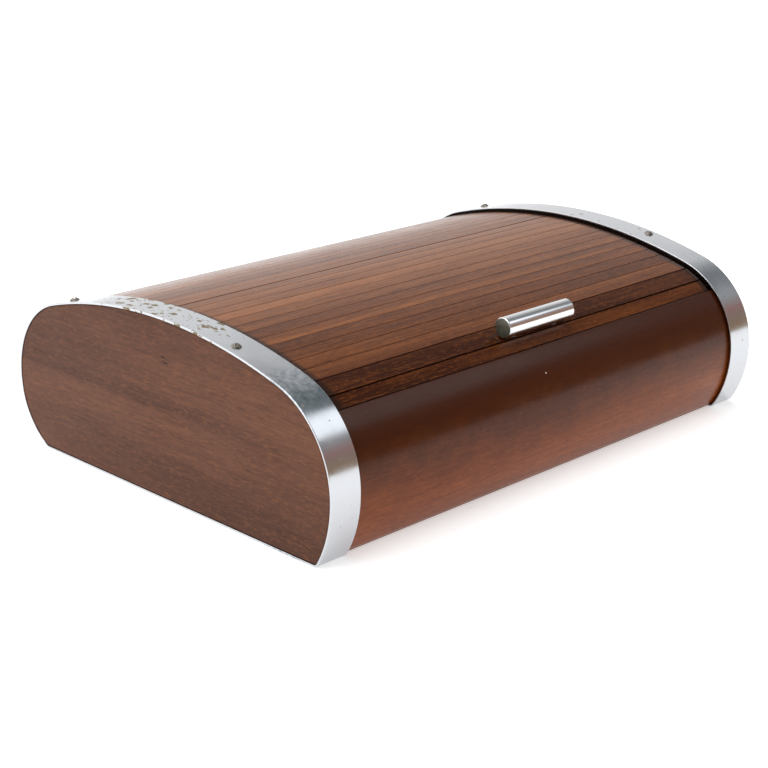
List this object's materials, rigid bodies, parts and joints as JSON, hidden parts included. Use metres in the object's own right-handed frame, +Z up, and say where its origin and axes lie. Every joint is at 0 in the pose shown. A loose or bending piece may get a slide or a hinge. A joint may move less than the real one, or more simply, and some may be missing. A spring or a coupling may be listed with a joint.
{
  "type": "roll-top bread box",
  "caption": "Low wooden bread box with rounded ends banded in metal and a tambour lid that slides back over the top by a short bar handle.",
  "frame": {"origin": "centre of the underside, on the surface the box stands on", "axes": "+X along the slats to the right seen from the front, +Y towards the back, +Z up; the lid opens towards +Y"},
  "size_m": [0.42, 0.317, 0.1224],
  "materials": {
    "cheek_wood": "satin",
    "panel_wood": "gloss lacquer",
    "slat_wood": "gloss lacquer",
    "inner_wood": "bare",
    "dowel_wood": "bare",
    "band_chrome": "polished, lightly pitted",
    "handle_chrome": "polished",
    "screw_steel": "aged",
    "canvas_cloth": "coarse weave"
  },
  "bodies": {
    "case": {"left_cheek": "cheek_wood", "right_cheek": "cheek_wood", "left_band": "band_chrome", "right_band": "band_chrome", "left_band_screws": "screw_steel", "right_band_screws": "screw_steel", "front_panel": "panel_wood", "back_panel": "panel_wood", "floor_panel": "inner_wood", "left_cleat": "inner_wood", "right_cleat": "inner_wood", "front_cleat": "inner_wood", "cleat_screws": "screw_steel", "stop_dowels": "dowel_wood"},
    "shutter": {"slat_03": "slat_wood", "slat_04": "slat_wood", "slat_05": "slat_wood", "slat_06": "slat_wood", "slat_07": "slat_wood", "slat_08": "slat_wood", "slat_09": "slat_wood", "slat_10": "slat_wood", "slat_11": "slat_wood", "slat_12": "slat_wood", "slat_13": "slat_wood", "canvas": "canvas_cloth"},
    "lead_slat": {"slat_01": "slat_wood"},
    "handle_slat": {"slat_02": "slat_wood", "handle_bar": "handle_chrome", "handle_collars": "screw_steel", "handle_bolts": "screw_steel"},
    "tail_slat_14": {"slat_14": "slat_wood"},
    "tail_slat_15": {"slat_15": "slat_wood"},
    "tail_slat_16": {"slat_16": "slat_wood"},
    "tail_slat_17": {"slat_17": "slat_wood"},
    "tail_slat_18": {"slat_18": "slat_wood"},
    "tail_slat_19": {"slat_19": "slat_wood"},
    "tail_slat_20": {"slat_20": "slat_wood"},
    "tail_slat_21": {"slat_21": "slat_wood"},
    "tail_slat_22": {"slat_22": "slat_wood"},
    "tail_slat_23": {"slat_23": "slat_wood"},
    "tail_slat_24": {"slat_24": "slat_wood"},
    "tail_slat_25": {"slat_25": "slat_wood"}
  },
  "joints": [
    {"name": "roll_top", "type": "hinge", "parent": "case", "child": "shutter", "pos_m": [0, 0.0023, -0.2838], "axis": [-1, 0, 0], "range_deg": [0, 15], "deforming": ["canvas"]},
    {"name": "lead_turn", "type": "hinge", "parent": "case", "child": "lead_slat", "pos_m": [0, -0.03937, -0.0618], "axis": [-1, 0, 0], "range_deg": [0, 34.06]},
    {"name": "handle_turn", "type": "hinge", "parent": "case", "child": "handle_slat", "pos_m": [0, -0.02372, -0.13329], "axis": [-1, 0, 0], "range_deg": [0, 24.17]},
    {"name": "tail_turn_14", "type": "hinge", "parent": "case", "child": "tail_slat_14", "pos_m": [0, 0.01998, -0.16137], "axis": [-1, 0, 0], "range_deg": [0, 21.66]},
    {"name": "tail_turn_15", "type": "hinge", "parent": "case", "child": "tail_slat_15", "pos_m": [0, 0.03803, -0.05827], "axis": [-1, 0, 0], "range_deg": [0, 34.52]},
    {"name": "tail_turn_16", "type": "hinge", "parent": "case", "child": "tail_slat_16", "pos_m": [0, 0.04934, -0.01109], "axis": [-1, 0, 0], "range_deg": [0, 47.37]},
    {"name": "tail_turn_17", "type": "hinge", "parent": "case", "child": "tail_slat_17", "pos_m": [0, 0.05818, 0.01566], "axis": [-1, 0, 0], "range_deg": [0, 60.23]},
    {"name": "tail_turn_18", "type": "hinge", "parent": "case", "child": "tail_slat_18", "pos_m": [0, 0.06582, 0.03251], "axis": [-1, 0, 0], "range_deg": [0, 73.08]},
    {"name": "tail_turn_19", "type": "hinge", "parent": "case", "child": "tail_slat_19", "pos_m": [0, 0.07273, 0.04366], "axis": [-1, 0, 0], "range_deg": [0, 85.94]},
    {"name": "tail_turn_20", "type": "hinge", "parent": "case", "child": "tail_slat_20", "pos_m": [0, 0.07914, 0.05113], "axis": [-1, 0, 0], "range_deg": [0, 98.79]},
    {"name": "tail_turn_21", "type": "hinge", "parent": "case", "child": "tail_slat_21", "pos_m": [0, 0.08517, 0.05601], "axis": [-1, 0, 0], "range_deg": [0, 111.65]},
    {"name": "tail_turn_22", "type": "hinge", "parent": "case", "child": "tail_slat_22", "pos_m": [0, 0.09086, 0.05891], "axis": [-1, 0, 0], "range_deg": [0, 124.5]},
    {"name": "tail_turn_23", "type": "hinge", "parent": "case", "child": "tail_slat_23", "pos_m": [0, 0.09624, 0.06021], "axis": [-1, 0, 0], "range_deg": [0, 137.36]},
    {"name": "tail_turn_24", "type": "hinge", "parent": "case", "child": "tail_slat_24", "pos_m": [0, 0.0965, 0.06024], "axis": [-1, 0, 0], "range_deg": [0, 138]},
    {"name": "tail_turn_25", "type": "hinge", "parent": "case", "child": "tail_slat_25", "pos_m": [0, 0.09596, 0.06045], "axis": [-1, 0, 0], "range_deg": [0, 136.57]}
  ],
  "couplings": [
    {"joint": "lead_turn", "follows": "roll_top", "ratio": 2.2708},
    {"joint": "handle_turn", "follows": "roll_top", "ratio": 1.6113},
    {"joint": "tail_turn_14", "follows": "roll_top", "ratio": 1.444},
    {"joint": "tail_turn_15", "follows": "roll_top", "ratio": 2.301},
    {"joint": "tail_turn_16", "follows": "roll_top", "ratio": 3.158},
    {"joint": "tail_turn_17", "follows": "roll_top", "ratio": 4.015},
    {"joint": "tail_turn_18", "follows": "roll_top", "ratio": 4.872},
    {"joint": "tail_turn_19", "follows": "roll_top", "ratio": 5.729},
    {"joint": "tail_turn_20", "follows": "roll_top", "ratio": 6.586},
    {"joint": "tail_turn_21", "follows": "roll_top", "ratio": 7.443},
    {"joint": "tail_turn_22", "follows": "roll_top", "ratio": 8.3},
    {"joint": "tail_turn_23", "follows": "roll_top", "ratio": 9.157},
    {"joint": "tail_turn_24", "follows": "roll_top", "ratio": 9.2},
    {"joint": "tail_turn_25", "follows": "roll_top", "ratio": 9.1043}
  ]
}
